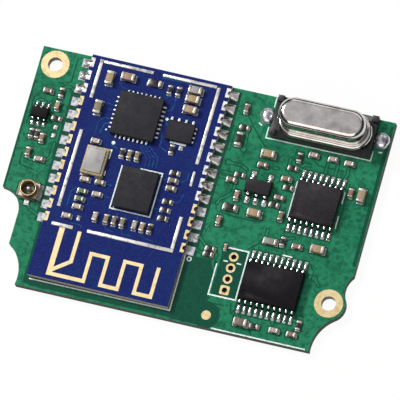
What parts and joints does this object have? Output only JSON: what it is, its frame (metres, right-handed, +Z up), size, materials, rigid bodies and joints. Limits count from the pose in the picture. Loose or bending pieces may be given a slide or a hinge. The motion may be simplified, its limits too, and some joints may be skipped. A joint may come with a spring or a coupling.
{
  "type": "bluetooth module",
  "caption": "Radio module with a printed antenna, soldered by its edge notches to a carrier board with a crystal, chips, an antenna socket and mounting holes.",
  "frame": {"origin": "middle of the carrier board's underside", "axes": "+X along the carrier's long side towards the crystal, +Y along its short side from the printed antenna's end towards the crystal's edge, +Z up from the side that carries the parts"},
  "size_m": [0.04, 0.0268, 0.0052],
  "materials": {
    "green_board": "gloss",
    "blue_board": "gloss",
    "gold_plating": "satin",
    "tinned": "satin",
    "white_print": "matte",
    "can_steel": "satin",
    "black_plastic": "matte",
    "chip_plastic": "matte",
    "chip_terminals": "satin",
    "cream_plastic": "matte",
    "tan_ceramic": "satin",
    "black_glaze": "gloss",
    "khaki_ceramic": "satin",
    "lid_steel": "satin"
  },
  "bodies": {
    "root": {"main_board": "green_board", "corner_hole_plating": "gold_plating", "header_hole_plating": "gold_plating", "fiducial_pad": "gold_plating", "module_lands": "tinned", "module_solder_fillets": "tinned", "board_legend": "white_print", "crystal_can": "can_steel", "crystal_insulator": "black_plastic", "crystal_leads": "chip_terminals", "crystal_solder": "tinned", "sixteen_lead_chip_body": "chip_plastic", "sixteen_lead_chip_leads": "chip_terminals", "twenty_lead_chip_body": "chip_plastic", "twenty_lead_chip_leads": "chip_terminals", "regulator_body": "chip_plastic", "regulator_leads": "chip_terminals", "small_chip_body": "chip_plastic", "small_chip_leads": "chip_terminals", "chip_lead_pads": "tinned", "antenna_socket_base": "cream_plastic", "antenna_socket_shell": "gold_plating", "antenna_socket_pin": "gold_plating", "board_capacitor_bodies": "tan_ceramic", "board_capacitor_ends": "tinned", "board_resistor_bodies": "black_glaze", "board_resistor_ends": "tinned", "board_passive_pads": "tinned", "module_board": "blue_board", "castellations_soldered": "tinned", "castellations_bare": "gold_plating", "antenna_trace": "gold_plating", "shield_fence": "tinned", "module_legend": "white_print", "radio_chip": "chip_plastic", "radio_chip_joints": "tinned", "processor_body": "chip_plastic", "processor_terminals": "chip_terminals", "processor_thermal_pad": "tinned", "memory_chip_body": "chip_plastic", "memory_chip_terminals": "chip_terminals", "oscillator_base": "khaki_ceramic", "oscillator_lid": "lid_steel", "oscillator_pads": "tinned", "module_capacitor_bodies": "tan_ceramic", "module_capacitor_ends": "tinned", "module_resistor_bodies": "black_glaze", "module_resistor_ends": "tinned", "module_passive_pads": "tinned"}
  },
  "joints": []
}
